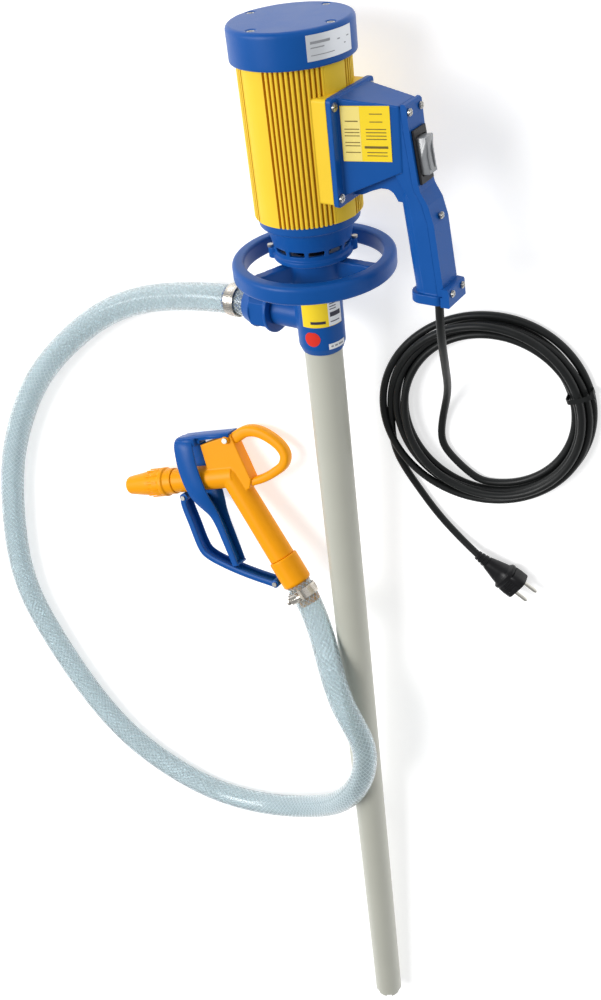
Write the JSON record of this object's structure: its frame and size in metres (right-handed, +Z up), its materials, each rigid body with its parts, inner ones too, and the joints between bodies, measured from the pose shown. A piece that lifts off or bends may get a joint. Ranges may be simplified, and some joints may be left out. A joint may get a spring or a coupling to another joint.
{
  "type": "drum barrel pump",
  "caption": "Electric drum barrel pump: ribbed motor with pistol grip and rocker switch, handwheel, long immersion tube, braided hose and hand nozzle.",
  "frame": {"origin": "On the ground plane, under the middle of the object without its hose and mains lead", "axes": "+X along the immersion tube from its foot towards the motor (the axis rises 2.8 degrees towards the motor), +Y towards the outlet side, +Z up; the pump lies on its handwheel rim and its foot"},
  "size_m": [1.5353, 0.8317, 0.1688],
  "materials": {
    "yellow_plastic": "ribbed moulding, satin",
    "blue_plastic": "glass-filled moulding, satin",
    "orange_plastic": "satin moulding",
    "black_plastic": "satin moulding",
    "rocker_grey": "smoky rocker",
    "zinc_steel": "zinc plated",
    "stainless": "stainless strip and rod",
    "coupling_steel": "turned",
    "lamination": "stacked sheet",
    "copper": "enamelled copper",
    "plate_silver": "printed foil",
    "label_yellow": "printed film",
    "label_red": "printed film",
    "tube_grey": "extruded polypropylene",
    "white_plastic": "natural nylon",
    "seal_rubber": "matt",
    "hose_clear": "clear braided hose",
    "cord_black": "matt rubber sheath",
    "plug_black": "moulded",
    "nickel": "nickel plated"
  },
  "bodies": {
    "root": {"motor_housing": "yellow_plastic", "motor_cap": "blue_plastic", "cap_screws": "zinc_steel", "rating_plate": "plate_silver", "end_bell": "blue_plastic", "bell_screws": "zinc_steel", "bearings": "zinc_steel", "upper_bracket": "black_plastic", "stator_core": "lamination", "field_coils": "copper", "brush_holders": "copper", "carbon_brushes": "black_plastic", "flange_gasket": "seal_rubber", "handle_body": "blue_plastic", "grip_cover": "blue_plastic", "flange_screws": "zinc_steel", "cover_screws": "zinc_steel", "warning_label": "label_yellow", "switch_bezel": "black_plastic", "terminal_block": "white_plastic", "pump_head": "blue_plastic", "shaft_seal": "seal_rubber", "pump_tube": "tube_grey", "inner_tube": "tube_grey", "guide_bushes": "white_plastic", "tube_spacers": "white_plastic", "inlet_foot": "tube_grey", "round_sticker": "label_red", "outlet_tail": "blue_plastic", "hose": "hose_clear", "cord_lead": "cord_black", "cord_coil": "cord_black", "cord_tail": "cord_black", "plug_body": "plug_black", "plug_pins": "nickel", "nozzle_body": "orange_plastic", "nozzle_hook": "orange_plastic", "spout_tip": "orange_plastic", "nozzle_connector": "orange_plastic", "trigger_guard": "blue_plastic", "nozzle_tail": "orange_plastic", "hose_clamps": "stainless", "head_labels": "label_yellow", "coil_tie": "cord_black", "pivot_pin": "zinc_steel", "guard_screws": "zinc_steel"},
    "rotor": {"armature_core": "lamination", "armature_winding": "copper", "commutator": "copper", "motor_shaft": "stainless", "cooling_fan": "black_plastic", "upper_coupling": "coupling_steel", "lower_coupling": "coupling_steel", "pump_shaft": "stainless", "impeller": "white_plastic"},
    "handwheel": {"handwheel": "blue_plastic"},
    "union_nut": {"union_nut": "blue_plastic"},
    "rocker": {"switch_rocker": "rocker_grey"},
    "lever": {"lever": "blue_plastic"},
    "valve": {"valve_stem": "stainless"}
  },
  "joints": [
    {"name": "rotor_spin", "type": "hinge", "parent": "root", "child": "rotor", "pos_m": [0.5386, -0.08, 0.08469], "axis": [0.9988, 0, 0.0493], "continuous": true},
    {"name": "handwheel_turn", "type": "hinge", "parent": "root", "child": "handwheel", "pos_m": [0.52861, -0.08, 0.0842], "axis": [0.9988, 0, 0.0493], "continuous": true},
    {"name": "union_nut_turn", "type": "hinge", "parent": "root", "child": "union_nut", "pos_m": [0.4684, -0.01153, 0.06666], "axis": [0.0103, 0.9781, -0.2077], "continuous": true},
    {"name": "switch_rock", "type": "hinge", "parent": "root", "child": "rocker", "pos_m": [0.65014, -0.20579, 0.11697], "axis": [0.0482, -0.2079, -0.977], "range_deg": [-8, 4]},
    {"name": "lever_pull", "type": "hinge", "parent": "root", "child": "lever", "pos_m": [0.26367, 0.08033, 0.0152], "axis": [0.2186, 0.0533, 0.9744], "range_deg": [0, 6], "stiffness_Nm_per_rad": 4},
    {"name": "valve_slide", "type": "slide", "parent": "root", "child": "valve", "axis": [-0.2368, 0.9715, 0], "range_m": [-0.004, 0]}
  ],
  "couplings": [
    {"joint": "valve_slide", "follows": "lever_pull", "m_per_rad": -0.038}
  ]
}
